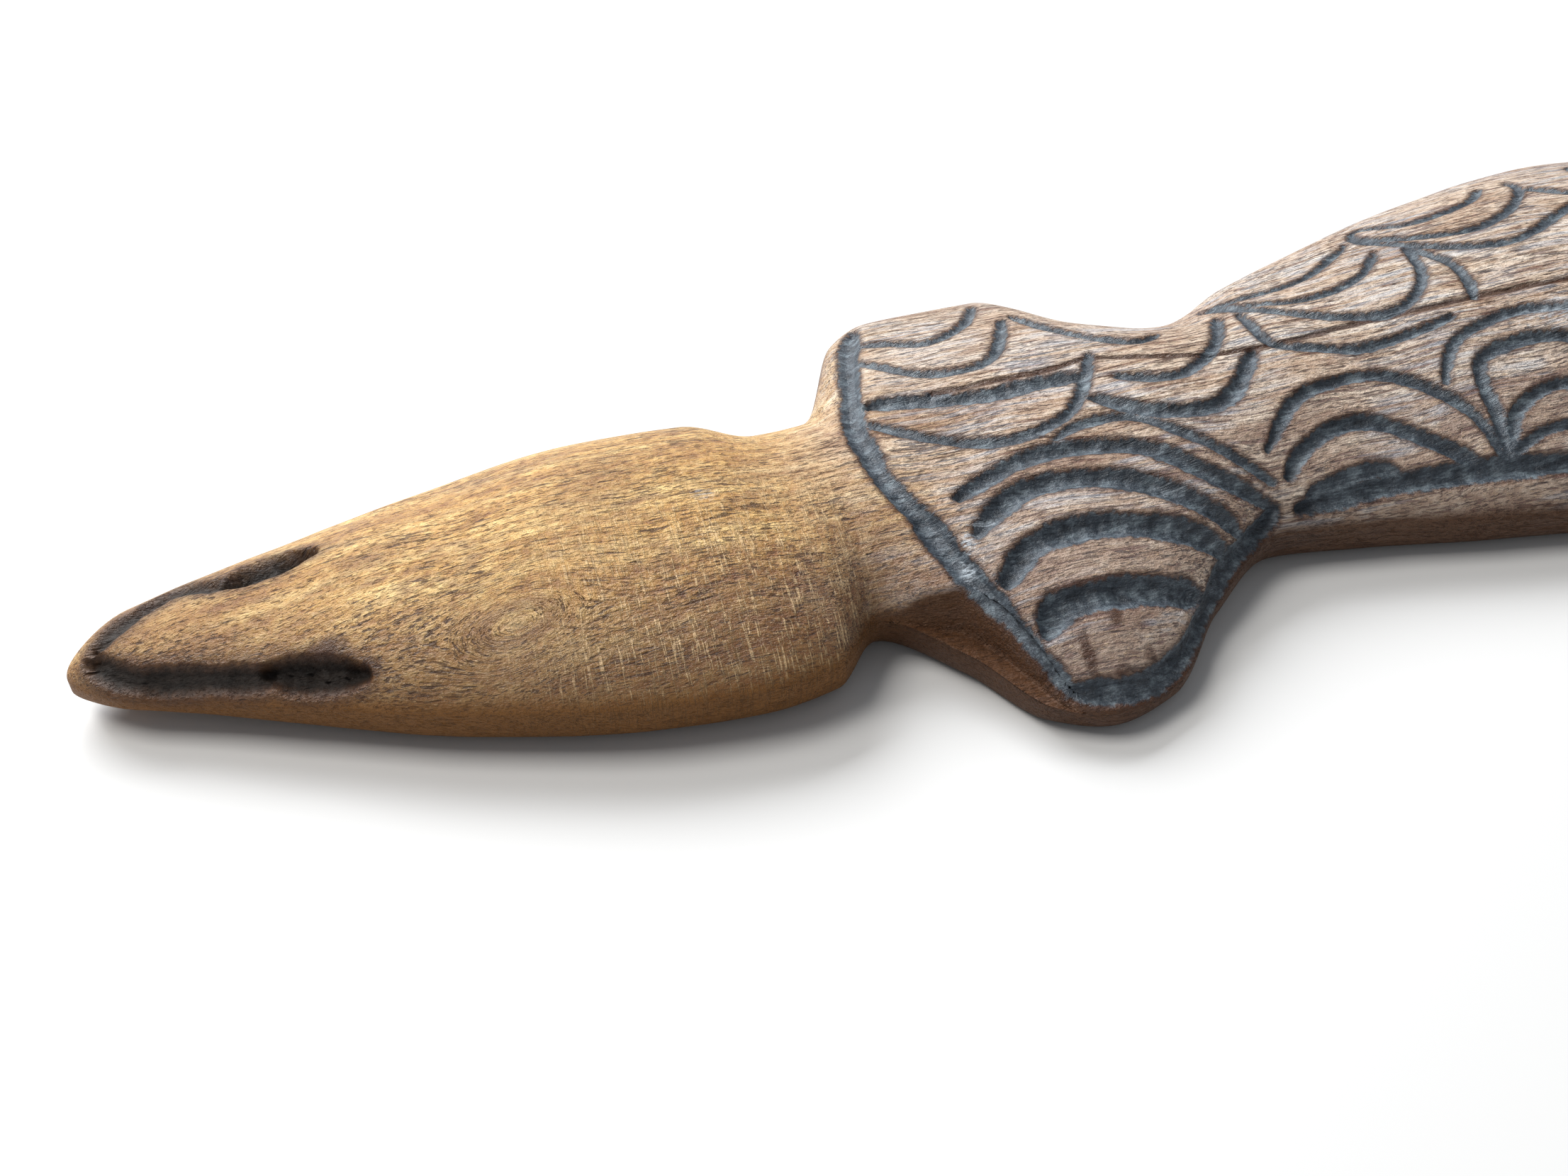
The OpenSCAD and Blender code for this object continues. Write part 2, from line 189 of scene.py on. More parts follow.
# node: list of (width of the burn in mm, points of the line)
BURNS = {
    "char_face": [
        (4.2, [(17.3, 0.37), (22, 0.4), (26.7, 0.41)]),
        (4.4, [(20.2, -0.8), (25, -0.82), (29.8, -0.81)]),
        (2.6, [(20, 0.38), (16.5, 0.4), (12.5, 0.56), (7.5, 0.3), (3.5, -0.1)]),
        (3.3, [(20.6, -0.84), (18.5, -0.84), (14.5, -0.84), (6.5, -0.8), (3, -0.42)]),
    ],
    "char_collar": [
        (2.8, [(95, 0.9), (92, 0.7), (89, 0.4), (88, 0.2), (88.3, 0), (88.5, -0.18), (91, -0.48)]),
        (3.2, [(90.5, -0.4), (92.5, -0.62), (94.5, -0.74), (97, -0.87), (99.5, -0.96)]),
    ],
    "char_near_foreleg": [
        (3.2, [(99.5, -0.97), (107, -0.96), (114, -0.96), (122.5, -0.95), (130.5, -0.92)]),
        (3.8, [(99.5, -0.79), (102, -0.7), (109, -0.7), (115, -0.81), (117.5, -0.9)]),
        (3.3, [(97, -0.64), (101.5, -0.48), (108, -0.46), (113.5, -0.54), (119.5, -0.74),
               (122.5, -0.9)]),
        (2.8, [(96, -0.46), (99.5, -0.33), (104, -0.26), (111.5, -0.32), (117.5, -0.48),
               (122.5, -0.72), (125, -0.89)]),
        (2.4, [(95.5, -0.31), (103.5, -0.15), (109.5, -0.16), (117.5, -0.29), (124, -0.59),
               (130, -0.9)]),
        (1.5, [(108.5, -0.1), (112.5, -0.09), (118, -0.13), (123, -0.33), (131, -0.8)]),
    ],
    "char_far_foreleg": [
        (1.6, [(93.5, 0.75), (97.5, 0.66), (102, 0.6), (107.5, 0.68), (111, 0.85)]),
        (1.6, [(91.5, 0.68), (97.5, 0.41), (103.5, 0.36), (108, 0.41), (112, 0.63)]),
        (2.6, [(90.5, 0.29), (98, 0.22), (104, 0.19), (110.5, 0.17), (115.5, 0.15)]),
        (1.6, [(89.5, 0.19), (95, 0), (103, -0.05), (110.5, -0.03), (114.5, 0.07), (118, 0.32)]),
        (1.9, [(113.5, 0.66), (116.5, 0.56), (123.5, 0.47), (127.5, 0.55)]),
        (2.2, [(115, 0.02), (119.5, -0.1), (125.5, -0.23), (130.5, -0.2), (135.5, 0.08)]),
        (1.7, [(119, 0.13), (126, 0.05), (132, 0.26), (135.5, 0.55)]),
    ],
    "char_back_near": [
        (2.8, [(133.5, -0.93), (143.5, -0.88), (151, -0.86), (165, -0.86), (184, -0.86)]),
        (1.7, [(131.5, -0.62), (137, -0.36), (143, -0.31), (148.5, -0.34), (153, -0.46),
               (156.5, -0.62), (158, -0.82)]),
        (2.1, [(133, -0.78), (135.5, -0.66), (140, -0.57), (144.5, -0.57), (149, -0.67),
               (153.5, -0.79), (156, -0.88)]),
        (2.2, [(135, -0.88), (138.5, -0.84), (143, -0.8), (145.5, -0.84)]),
        (1.9, [(158.5, -0.85), (159, -0.65), (160, -0.39), (165.5, -0.32), (172, -0.34),
               (184, -0.48), (190, -0.72)]),
        (1.7, [(158.5, -0.85), (159.5, -0.76), (162, -0.62), (169, -0.55), (180, -0.66),
               (186, -0.84)]),
        (1.4, [(159, -0.82), (161.5, -0.76), (166.5, -0.72), (174, -0.77)]),
        (1.5, [(155, -0.44), (157.5, -0.29), (161, -0.21), (167.5, -0.17), (174, -0.2),
               (184, -0.26)]),
    ],
    "char_back_far": [
        (1.3, [(135.5, 0.75), (140, 0.62), (145.5, 0.54), (150, 0.55), (155.5, 0.64), (158, 0.69)]),
        (1.3, [(135.5, 0.75), (143, 0.4), (149, 0.32), (155, 0.37), (159.5, 0.51)]),
        (1.5, [(135.5, 0.75), (142, 0.32), (147.5, 0.12), (153.5, 0.03), (158, 0.08),
               (161.5, 0.22), (163, 0.44)]),
        (1.5, [(163, 0.44), (164.5, 0.32), (165.5, 0.23), (165.5, 0.08), (164.5, -0.04)]),
        (1.4, [(161, 0.79), (162.5, 0.77), (167.5, 0.63), (174.5, 0.66), (177.5, 0.75)]),
        (1.5, [(161, 0.79), (160.5, 0.68), (165.5, 0.49), (171.5, 0.41), (177, 0.48),
               (180.5, 0.63), (180.5, 0.74)]),
        (1.5, [(161, 0.79), (160, 0.65), (166, 0.37), (171.5, 0.26), (176.5, 0.27), (184, 0.42)]),
        (1.7, [(181.5, 0.62), (184.5, 0.51), (187, 0.5)]),
        (1.5, [(138, 0.48), (137.8, 0.3), (138.5, 0.07), (143.5, -0.08), (148, -0.15),
               (156, -0.13), (160.5, -0.1)]),
    ],
    "char_elbow": [(2.6, p) for p in (
        [[(184, -0.86), (215, -0.87), (250, -0.87), (290, -0.88)]]
        + fan(190, 225, -0.78, [-0.12, -0.45]) + fan(228, 260, -0.78, [-0.12, -0.45])
        + fan(263, 290, -0.78, [-0.3]) + fan(188, 220, 0.76, [0.14, 0.46])
        + fan(223, 255, 0.76, [0.14, 0.46]) + fan(258, 288, 0.76, [0.28]))],
    "char_hind_legs": [(2.8, p) for side in (-1, 1) for p in (
        [(301, 0.85 * side), (307, 0.91 * side), (317, 0.93 * side), (325, 0.92 * side),
         (330, 0.88 * side)],
        bow(304, 331, 0.66 * side, 0.16 * side),
        bow(307, 329, 0.7 * side, 0.42 * side),
        bow(310, 327, 0.81 * side, 0.66 * side))],
    "char_tail": [(2.6, [(s + 3, -0.8), (s + 0.5, -0.45), (s, 0), (s + 0.5, 0.45), (s + 3, 0.8)])
                  for s in (335, 343.5)],
}
EYES = 2  # the first two lines of char_face are eye slots, widest in their middle
DRYING_CRACK = [(98.5, 0.26), (112, 0.22), (118.5, 0.28), (133, 0.14), (148.5, 0.02), (165.5, -0.04),
                (176, -0.06), (205, -0.02), (240, -0.08), (285, 0.02), (300, 0.05)]
DEPTH_SHARE = 0.36  # depth of a groove as a share of its width
EYE_DEPTH_SHARE = 0.5
DEPTH_UNEVEN = 0.2
SHOULDER, FLOOR = 1.25, 0.25  # where a groove starts and bottoms out, in half widths
LOWEST_BURN = 2.0  # height below which the flank isn't burnt
CLEAR = 6.0  # reach of the distances measured from each line
LINE_STEP = 0.25
LINE_TAPER = 0.12  # share of a line over which each end narrows
HAND_WAVES = (2.3, 5.1, 11.7, 23.0)
CRACK_WAVES = (9, 21, 37, 61)
CRACK_OPENING, CRACK_UNEVEN, CRACK_DEPTH = 0.22, 0.16, 0.35
CRACK_SEED = 41


def smooth_line(points):
    """A smooth line through (station, fraction) points, as closely spaced points of the top."""
    p = np.array(points, float)
    middle, half = middle_and_half(p[:, 0])
    p[:, 1] = middle + half * p[:, 1]
    padded = np.vstack([p[:1], p, p[-1:]])
    out = [p[:1]]
    for a, b, c, d in zip(padded, padded[1:], padded[2:], padded[3:]):
        q = np.linspace(0, 1, max(2, int(np.linalg.norm(c - b) / LINE_STEP)) + 1)[1:, None]
        out.append(0.5 * (2 * b + (c - a) * q + (2 * a - 5 * b + 4 * c - d) * q * q
                          + (3 * b - a - 3 * c + d) * q ** 3))
    line = np.vstack(out)
    middle, half = middle_and_half(line[:, 0])
    fraction = np.clip((line[:, 1] - middle) / np.maximum(half, 0.01), -1, 1)
    return on_top(line[:, 0], fraction)


def wobble(q, seed, waves=HAND_WAVES):
    """Smooth hand-drawn unevenness along a line, about -1 to 1."""
    rng = np.random.default_rng(seed)
    total = sum(np.sin(2 * np.pi * (w * q + rng.random())) / (1 + 0.35 * i)
                for i, w in enumerate(waves))
    return total / 2.2


def half_width(q, width, seed, is_eye):
    """Half the width of a burn along its line, q from 0 to 1."""
    if is_eye:
        return width / 2 * (0.5 + 0.5 * np.sin(np.pi * q)) * (1 + 0.05 * wobble(q, seed))
    taper = np.clip(np.minimum(q, 1 - q) / LINE_TAPER, 0, 1) ** 0.6
    return width / 2 * (0.55 + 0.45 * taper) * (1 + 0.13 * wobble(q, seed))


# ---------------------------------------------------------------- the grid
ROW_STEP = 0.4
TOP_COLUMNS = 190
FLANK_COLUMNS = 8
BASE_COLUMNS = 12
TIP_ROWS = 14
PROFILE_POINTS = 500  # fine steps across the top, from which the columns are spaced evenly
BLOCK = 4000  # points measured at once, to save memory
NOISE_WAVES = 7


def row_stations():
    """Stations of the grid's rows, closer together at the rounded tips."""
    angle = np.linspace(0, math.pi / 2, TIP_ROWS + 1)[1:]
    nose = TIP_ROUND * (1 - np.cos(angle))
    body = np.arange(TIP_ROUND, LENGTH - TIP_ROUND, ROW_STEP)[1:]
    return np.concatenate([nose, body, (LENGTH - nose)[::-1]])


def base_grid():
    """Station, distance across and height of every grid point, and which are on the top."""
    stations = row_stations()
    even = np.linspace(0, 1, TOP_COLUMNS + 1)
    dense = np.cos(np.linspace(0, math.pi, PROFILE_POINTS))
    down = np.linspace(0, math.pi / 2, FLANK_COLUMNS + 1)[1:]
    middle, half = middle_and_half(stations)
    widest, low, tuck = section_value(stations, WIDEST), low_height(stations), tuck_at(stations)
    across, height, fraction = [], [], []
    for s, m, h, w, b, k in zip(stations, middle, half, widest, low, tuck):
        profile = top_height(np.full(len(dense), s), dense)
        run = np.concatenate([[0], np.cumsum(np.hypot(np.diff(dense) * h, np.diff(profile)))])
        t = np.interp(even, run / run[-1], dense)
        t[0], t[-1] = 1, -1
        flank_u, flank_z = k * (1 - np.cos(down)), b + (w - b) * (1 - np.sin(down))
        base = np.linspace(m - h + k, m + h - k, BASE_COLUMNS + 1)[1:-1]
        across.append(np.concatenate([m + h * t, m - h + flank_u, base, (m + h - flank_u)[::-1]]))
        height.append(np.concatenate([top_height(np.full(len(t), s), t), flank_z,
                                      np.full(len(base), b), flank_z[::-1]]))
        fraction.append((across[-1] - m) / max(h, 0.01))
    across, height, fraction = map(np.array, (across, height, fraction))
    return np.repeat(stations[:, None], across.shape[1], 1), across, height, fraction


def grid_normals(points):
    """Outward normals of a closed-ring grid."""
    along = np.gradient(points, axis=0)
    around = np.roll(points, -1, 1) - np.roll(points, 1, 1)
    n = np.cross(around, along)
    n /= np.maximum(np.linalg.norm(n, axis=-1, keepdims=True), 1e-9)
    return n


def near_line(points, line, reach):
    """Indices of points within reach of a line, their distance, and the nearest line point."""
    low, high = line.min(0) - reach, line.max(0) + reach
    found = np.flatnonzero(np.all((points > low) & (points < high), axis=1))
    distance, nearest = np.empty(len(found)), np.empty(len(found), int)
    for block in np.array_split(np.arange(len(found)), max(1, len(found) // BLOCK)):
        gap = np.linalg.norm(points[found[block], None, :] - line[None, :, :], axis=2)
        nearest[block] = gap.argmin(1)
        distance[block] = gap.min(1)
    keep = distance < reach
    return found[keep], distance[keep], nearest[keep]


def soft_noise(x, y, seed, scale):
    """Smooth seeded noise in a plane from a few rotated waves, about -1 to 1."""
    rng = np.random.default_rng(seed)
    total = np.zeros_like(x)
    for _ in range(NOISE_WAVES):
        angle, phase, size = rng.random(3) * (2 * math.pi, 2 * math.pi, 1)
        k = 2 * math.pi / (scale * (0.6 + size))
        total += np.sin(k * (x * math.cos(angle) + y * math.sin(angle)) + phase)
    return total / (NOISE_WAVES / 2)


# upper edge of the sloping wall in front of the near foreleg: station, fraction of the inner half
FRONT_WALL = np.array([[84, 1], [86.5, 0.93], [89, 0.84], [92, 0.76], [95.5, 0.75], [97.5, 0.83],
                       [99, 0.94], [101.5, 1]])
FRONT_SLOPE = 1.5  # fall of the wall for each millimetre outwards
SLOPE_FADE = 0.9  # width over which the top gives way to the painted shade of the wall
WALL_SHARE = 0.7  # share of the widest line's height at which the painted shade of the flank is full
# hand-carved facets: height and size in millimetres, and the seed
FACETS = [(0.16, 26, 3), (0.07, 9, 5)]
FACET_FADE = 4.0  # height over the flat underside at which the facets are full
FACET_SHARE = 0.5
SKIN_INSET = 0.12  # keeps the facets inside the plain shape


def past_front_wall(station, fraction):
    """How far a point lies past the upper edge of the sloping wall, in millimetres."""
    edge = np.interp(station, FRONT_WALL[:, 0], FRONT_WALL[:, 1])
    return np.maximum(0, -fraction - edge) * middle_and_half(station)[1]


def carve():
    """Burns the lines and opens the crack. Returns the grid and its measures in millimetres."""
    station, across, height, fraction = base_grid()
    shape = station.shape
    past = past_front_wall(station, fraction)
    on_slope = np.maximum(section_value(station, WIDEST), height - FRONT_SLOPE * past)
    height = np.minimum(height, on_slope)
    smooth = place(station, across, height)
    normals = grid_normals(smooth)
    flat = smooth.reshape(-1, 3)
    s, u = station.ravel(), across.ravel()

    # gentle hand-carved facets, none on the flat underside
    shaped = np.clip(height.ravel() / FACET_FADE, 0, 1)
    hand = sum(rise * soft_noise(s, u, seed, size) for rise, size, seed in FACETS)
    depth = np.zeros(len(flat))
    edge = np.full(len(flat), CLEAR)
    group = np.zeros(len(flat), int)
    for g, (name, lines) in enumerate(BURNS.items()):
        for i, (width, points) in enumerate(lines):
            line = smooth_line(points)
            is_eye = name == "char_face" and i < EYES
            seed = 100 * g + i
            found, distance, nearest = near_line(flat, line, width / 2 + CLEAR)
            up = height.ravel()[found] > LOWEST_BURN
            found, distance, nearest = found[up], distance[up], nearest[up]
            half = half_width(nearest / (len(line) - 1), width, seed, is_eye)
            gap = distance - half
            q = np.clip((SHOULDER - distance / half) / (SHOULDER - FLOOR), 0, 1)
            bowl = q * q * (3 - 2 * q)
            deep = EYE_DEPTH_SHARE if is_eye else DEPTH_SHARE
            uneven = 0.9 + DEPTH_UNEVEN * wobble(nearest / len(line), seed + 7)
            cut = deep * width * uneven * bowl
            depth[found] = np.maximum(cut, depth[found])
            closer = gap < edge[found]
            group[found[closer]] = g + 1
            edge[found] = np.minimum(edge[found], gap)
    crack_line = smooth_line(DRYING_CRACK)
    found, distance, nearest = near_line(flat, crack_line, CLEAR)
    crack = np.full(len(flat), CLEAR)
    crack[found] = distance
    along = nearest / (len(crack_line) - 1)
    opening = CRACK_OPENING + CRACK_UNEVEN * wobble(along, CRACK_SEED, CRACK_WAVES)
    depth[found] += CRACK_DEPTH * np.clip(1 - distance / np.maximum(opening, 0.05) / 1.6, 0, 1)

    inwards = depth - hand * shaped * FACET_SHARE + SKIN_INSET * shaped
    moved = flat - normals.reshape(-1, 3) * inwards[:, None]
    moved[:, 2] = np.maximum(moved[:, 2], 0)
    rim, widest = section_value(s, RIM), section_value(s, WIDEST)
    # wall: how far down the flank a point lies, where the flank gets painted shade and more roughness
    wall = np.clip((rim - height.ravel()) / (rim - WALL_SHARE * widest), 0, 1)
    wall = np.maximum(wall, np.clip(past.ravel() / SLOPE_FADE, 0, 1))
    return {"points": moved.reshape(shape + (3,)), "station": s, "across": u, "wall": wall,
            "height": height.ravel(), "edge": edge, "crack": crack, "group": group,
            "fraction": fraction.ravel()}


# ---------------------------------------------------------------- from grid to pieces
KNOT = (46.0, -9.0)
KNOT_STRETCH = 2.1
KNOT_RADIUS = 3.5
KNOT_SQUEEZE = 1.6  # how much closer the rings lie inside the knot
SWAY, SWAY_RATE = 0.7, 0.045
DRIFT, DRIFT_SIZE, DRIFT_SEED = 0.35, 40, 11


def grain_coordinates(measures):
    """Where each point lies in the tree: along, across and through the grain, in millimetres.

    The grain follows the elbow, sways a little, and parts round the knot on the head.
    """
    s, u, z = measures["station"], measures["across"], measures["height"]
    ds, du = (s - KNOT[0]) / KNOT_STRETCH, u - KNOT[1] - 0.25 * np.sin((s - KNOT[0]) * 0.35)
    ring = np.maximum(np.hypot(ds, du), 0.05)
    parted = du * (1 - (KNOT_RADIUS / np.maximum(ring, KNOT_RADIUS)) ** 2)
    inside = KNOT_SQUEEZE * np.minimum(ring - KNOT_RADIUS, 0)
    sway = SWAY * np.sin(s * SWAY_RATE + 1) + DRIFT * soft_noise(s, u, DRIFT_SEED, DRIFT_SIZE)
    top = measures["points"].reshape(-1, 3)[:, 2] > 0.5 * z
    across = np.where(top, parted + inside, du) + sway
    return np.stack([s, across, z], -1), ring


def make_piece(name, faces, caps, points, normals, floats, vectors):
    """One mesh object from some of the grid's faces; caps are the rings that close its ends."""
    used = np.unique(np.concatenate([faces.ravel(), *caps]))
    local = np.zeros(len(points), int)
    local[used] = np.arange(len(used))
    mesh = bpy.data.meshes.new(name)
    corners = local[faces].tolist() + [local[ring].tolist() for ring in caps]
    mesh.from_pydata((points[used] * MM).tolist(), [], corners)
    for key, values in floats.items():
        layer = mesh.attributes.new(key, "FLOAT", "POINT")
        layer.data.foreach_set("value", values[used].astype(np.float32))
    for key, values in vectors.items():
        layer = mesh.attributes.new(key, "FLOAT_VECTOR", "POINT")
        layer.data.foreach_set("vector", values[used].astype(np.float32).ravel())
    mesh.polygons.foreach_set("use_smooth", np.ones(len(corners), bool))
    mesh.normals_split_custom_set_from_vertices(normals[used].tolist())
    piece = bpy.data.objects.new(name, mesh)
    bpy.context.scene.collection.objects.link(piece)
    return piece


def build_carving(wood, char):
    """The carving as one piece for each CAD node, the burnt lines cut out of the wood's grid."""
    measures = carve()
    points = measures["points"]
    rows, columns = points.shape[:2]
    normals = grid_normals(points).reshape(-1, 3)
    flat = points.reshape(-1, 3)
    index = np.arange(rows * columns).reshape(rows, columns)
    right = np.roll(index, -1, 1)
    faces = np.stack([index[:-1], right[:-1], right[1:], index[1:]], -1).reshape(-1, 4)
    grain, ring = grain_coordinates(measures)
    floats = {"edge": measures["edge"], "crack": measures["crack"], "knot": ring,
              "fraction": measures["fraction"], "wall": measures["wall"]}
    vectors = {"grain": grain, "flat": np.stack([measures["station"], measures["across"],
                                                 measures["height"]], -1)}
    burnt = measures["edge"][faces].mean(1) < 0
    owner = np.where(burnt, np.median(measures["group"][faces], axis=1).astype(int), 0)
    names = ["carved_wood", *BURNS]
    for number, node in enumerate(names):
        caps = [index[0][::-1], index[-1]] if number == 0 else []
        piece = make_piece(node + "_look", faces[owner == number], caps, flat, normals, floats,
                           vectors)
        piece.data.materials.append(wood if number == 0 else char)
        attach(piece, "root")
        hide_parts(node)


# ---------------------------------------------------------------- materials
class Graph:
    """Short names for building a material's node tree."""

    def __init__(self, name):
        self.material = bpy.data.materials.new(name)
        self.material.use_nodes = True
        self.tree = self.material.node_tree
        self.shader = self.tree.nodes["Principled BSDF"]

    def put(self, socket, value):
        if isinstance(value, bpy.types.NodeSocket):
            self.tree.links.new(value, socket)
        else:
            socket.default_value = value

    def add(self, kind, inputs, **settings):
        node = self.tree.nodes.new(kind)
        for key, value in settings.items():
            setattr(node, key, value)
        for key, value in inputs.items():
            self.put(node.inputs[key], value)
        return node

    def attribute(self, name, output="Fac"):
        return self.add("ShaderNodeAttribute", {}, attribute_name=name).outputs[output]

    def math(self, operation, a, b=0.0, clamp=False):
        node = self.add("ShaderNodeMath", {0: a, 1: b}, operation=operation, use_clamp=clamp)
        return node.outputs[0]

    def plus(self, a, b):
        return self.math("ADD", a, b)

    def minus(self, a, b):
        return self.math("SUBTRACT", a, b)

    def times(self, a, b):
        return self.math("MULTIPLY", a, b)

    def noise(self, where, stretch, detail, rough, warp=0.0):
        scaled = self.add("ShaderNodeVectorMath", {0: where, 1: stretch}, operation="MULTIPLY")
        return self.add("ShaderNodeTexNoise", {
            "Vector": scaled.outputs[0], "Scale": 1.0, "Detail": detail, "Roughness": rough,
            "Distortion": warp}).outputs["Fac"]

    def step(self, value, low, high, a=0.0, b=1.0):
        """Smooth change from a to b as value goes from low to high."""
        node = self.add("ShaderNodeMapRange", {
            "Value": value, "From Min": low, "From Max": high, "To Min": a, "To Max": b},
            interpolation_type="SMOOTHSTEP")
        return node.outputs["Result"]

    def mix(self, share, a, b):
        node = self.add("ShaderNodeMix", {0: share}, data_type="RGBA")
        self.put(node.inputs[6], a)
        self.put(node.inputs[7], b)
        return node.outputs[2]

    def ramp(self, value, stops):
        node = self.add("ShaderNodeValToRGB", {"Fac": value})
        band = node.color_ramp
        while len(band.elements) < len(stops):
            band.elements.new(0.5)
        for element, (position, colour) in zip(band.elements, stops):
            element.position = position
            element.color = (*colour, 1)
        return node.outputs["Color"]


# tones as linear red, green, blue
HEAD_TONES = [(0.36, (0.27, 0.11, 0.03)), (0.48, (0.57, 0.32, 0.095)), (0.62, (0.86, 0.6, 0.25))]
BACK_TONES = [(0.34, (0.26, 0.15, 0.1)), (0.46, (0.55, 0.4, 0.29)), (0.62, (0.85, 0.72, 0.58))]
SLATE_TONES = [(0.34, (0.014, 0.018, 0.025)), (0.5, (0.05, 0.064, 0.082)),
               (0.66, (0.17, 0.21, 0.24))]
SOOT_TONES = [(0.3, (0.004, 0.002, 0.001)), (0.7, (0.022, 0.012, 0.007))]
PORE = (0.055, 0.02, 0.008, 1)
RED_SLIT = (0.11, 0.035, 0.02, 1)
# dark brown of the grain streaks and knot ring, also used for the painted shade on the near side of
# the head
STREAK_AND_SHADE = (0.16, 0.07, 0.028, 1)
GLINT = (0.85, 0.6, 0.33, 1)
# painted shade of the carved walls, amber under the head and darker under the legs
HEAD_WALL_SHADE = (0.19, 0.072, 0.006, 1)
LEG_WALL_SHADE = (0.075, 0.024, 0.002, 1)
SCORCH = (0.055, 0.018, 0.007, 1)
SMUDGE = (0.12, 0.05, 0.04, 1)
NOSE_TAN = (0.2, 0.09, 0.028, 1)
PALE_SPECK = (0.5, 0.56, 0.62, 1)
KNOT_HEART = (0.62, 0.44, 0.21, 1)
# cool blue-grey of the painted sheen, a painted reflection on the back
BLUE_SHEEN = (0.36, 0.42, 0.5, 1)
WOOD_SHINE, CHAR_SHINE = 0.38, 0.5

# where one look gives way to the next, as stations in millimetres
FACE_TO_NOSE = (34.0, 10.0)
SOOT_TO_SLATE = (34.0, 44.0)
RASP_START, RASP_END = (40.0, 58.0), (78.0, 88.0)
CHEEK_START, CHEEK_END = (50.0, 70.0), (92.0, 82.0)
HEAD_TO_LEG_WALL = (76.0, 88.0)
SLITS_START = (80.0, 110.0)
HEAD_TO_BACK, PATCHY_NECK = (88.0, 116.0), 30.0
NEAR_SHADE_END = (100.0, 125.0)
RASP_SIDE = (-4.0, 7.0)  # across instead of along

# how far each pattern stands out of the bare wood, in millimetres
WOOD_RELIEF = {"fibres": 0.15, "mottle": 0.42, "flecks": 0.06, "rasp": 0.1,
               "vessels": -0.2, "slits": -0.2, "pores": -0.13}
CRUMB_RELIEF = 0.28

# short burnt scars on the near foreleg and single marks on the head: station, across, size along,
# size across, strength, all in millimetres but the last
MARKS = [(107.0, -21.7, 0.9, 1.3, 0.8), (102.8, -25.0, 0.9, 2.6, 0.9), (106.0, -27.2, 1.1, 0.9, 0.7),
         (109.5, -26.1, 0.8, 1.2, 0.6), (27.0, -5.4, 2.4, 1.5, 0.85),
         (23.5, -11.6, 0.5, 0.5, 0.8), (31.0, -8.3, 1.5, 0.9, 0.5)]

# pale worn places, in the same form
PALE_MARKS = [(94.8, -9.5, 0.9, 1.6, 0.75), (97.2, -7.5, 1.6, 0.7, 0.5), (93.6, -12.5, 0.8, 1.0, 0.6),
              (176.0, 3.0, 7.5, 3.2, 0.55), (119.0, -8.5, 2.5, 0.8, 0.35), (68.5, 1.9, 1.3, 0.9, 0.4)]


def spots(g, p, uneven, marks):
    """Soft ragged ovals, summed."""
    total = 0.0
    for station, side, long, wide, strength in marks:
        a = g.math("DIVIDE", g.minus(p.along, station), long)
        b = g.math("DIVIDE", g.minus(p.across, side), wide)
        reach = g.plus(g.math("SQRT", g.plus(g.times(a, a), g.times(b, b))), uneven)
        total = g.plus(g.step(reach, 0.35, 1.25, strength, 0.0), total)
    return total


class Patterns:
    """The sockets that the colour, the roughness and the relief share, as named attributes."""


def wood_patterns(g):
    """Places on the carving, and the streaks, fibres, vessels and pores along its grain."""
    p = Patterns()
    p.grain = g.attribute("grain", "Vector")
    p.flat = g.attribute("flat", "Vector")
    parts = g.add("ShaderNodeSeparateXYZ", {"Vector": p.flat})
    p.along, p.across = parts.outputs["X"], parts.outputs["Y"]
    p.edge, p.crack, p.knot, p.wall, p.fraction = (
        g.attribute(n) for n in ("edge", "crack", "knot", "wall", "fraction"))

    p.streaks = g.noise(p.grain, (0.05, 1.1, 1.1), 4, 0.65, 0.3)
    p.fibres = g.noise(p.grain, (0.22, 4.4, 4.4), 3, 0.65)
    p.patches = g.noise(p.flat, (0.06, 0.09, 0.09), 3, 0.55)
    p.mottle = g.noise(p.flat, (0.75, 1.1, 1.1), 4, 0.7)
    crowd = g.noise(p.flat, (0.05, 0.14, 0.14), 2, 0.5)
    vessels = g.noise(p.grain, (0.36, 3.3, 3.3), 2, 0.5, 0.25)
    p.vessels = g.step(g.minus(vessels, g.step(crowd, 0.35, 0.65, 0.65, 0.57)), 0.0, 0.05)
    pores = g.noise(p.grain, (0.85, 5.2, 5.2), 2, 0.5, 0.2)
    p.pores = g.step(g.minus(pores, g.step(crowd, 0.35, 0.65, 0.6, 0.555)), 0.0, 0.05)
    slits = g.noise(p.grain, (0.13, 2.3, 2.3), 3, 0.55, 0.3)
    p.slits = g.times(g.step(slits, 0.57, 0.61), g.step(p.along, *SLITS_START))
    p.flecks = g.step(g.noise(p.grain, (1.3, 5.0, 5.0), 2, 0.6), 0.58, 0.68)
    neck = g.plus(p.along, g.times(p.patches, PATCHY_NECK))
    p.decorated = g.step(neck, *HEAD_TO_BACK)
    return p


def add_rasp_marks(g, p):
    """Rasp marks across the grain on the near side of the head."""
    zone = g.times(g.step(p.along, *RASP_START), g.step(p.along, *RASP_END, 1.0, 0.0))
    zone = g.times(zone, g.step(p.across, *RASP_SIDE, 1.0, 0.1))
    zone = g.times(zone, g.step(p.mottle, 0.38, 0.5))
    marks = g.noise(p.flat, (3.8, 0.22, 0.22), 3, 0.6, 0.8)
    p.rasp = g.times(g.step(marks, 0.53, 0.6), zone)


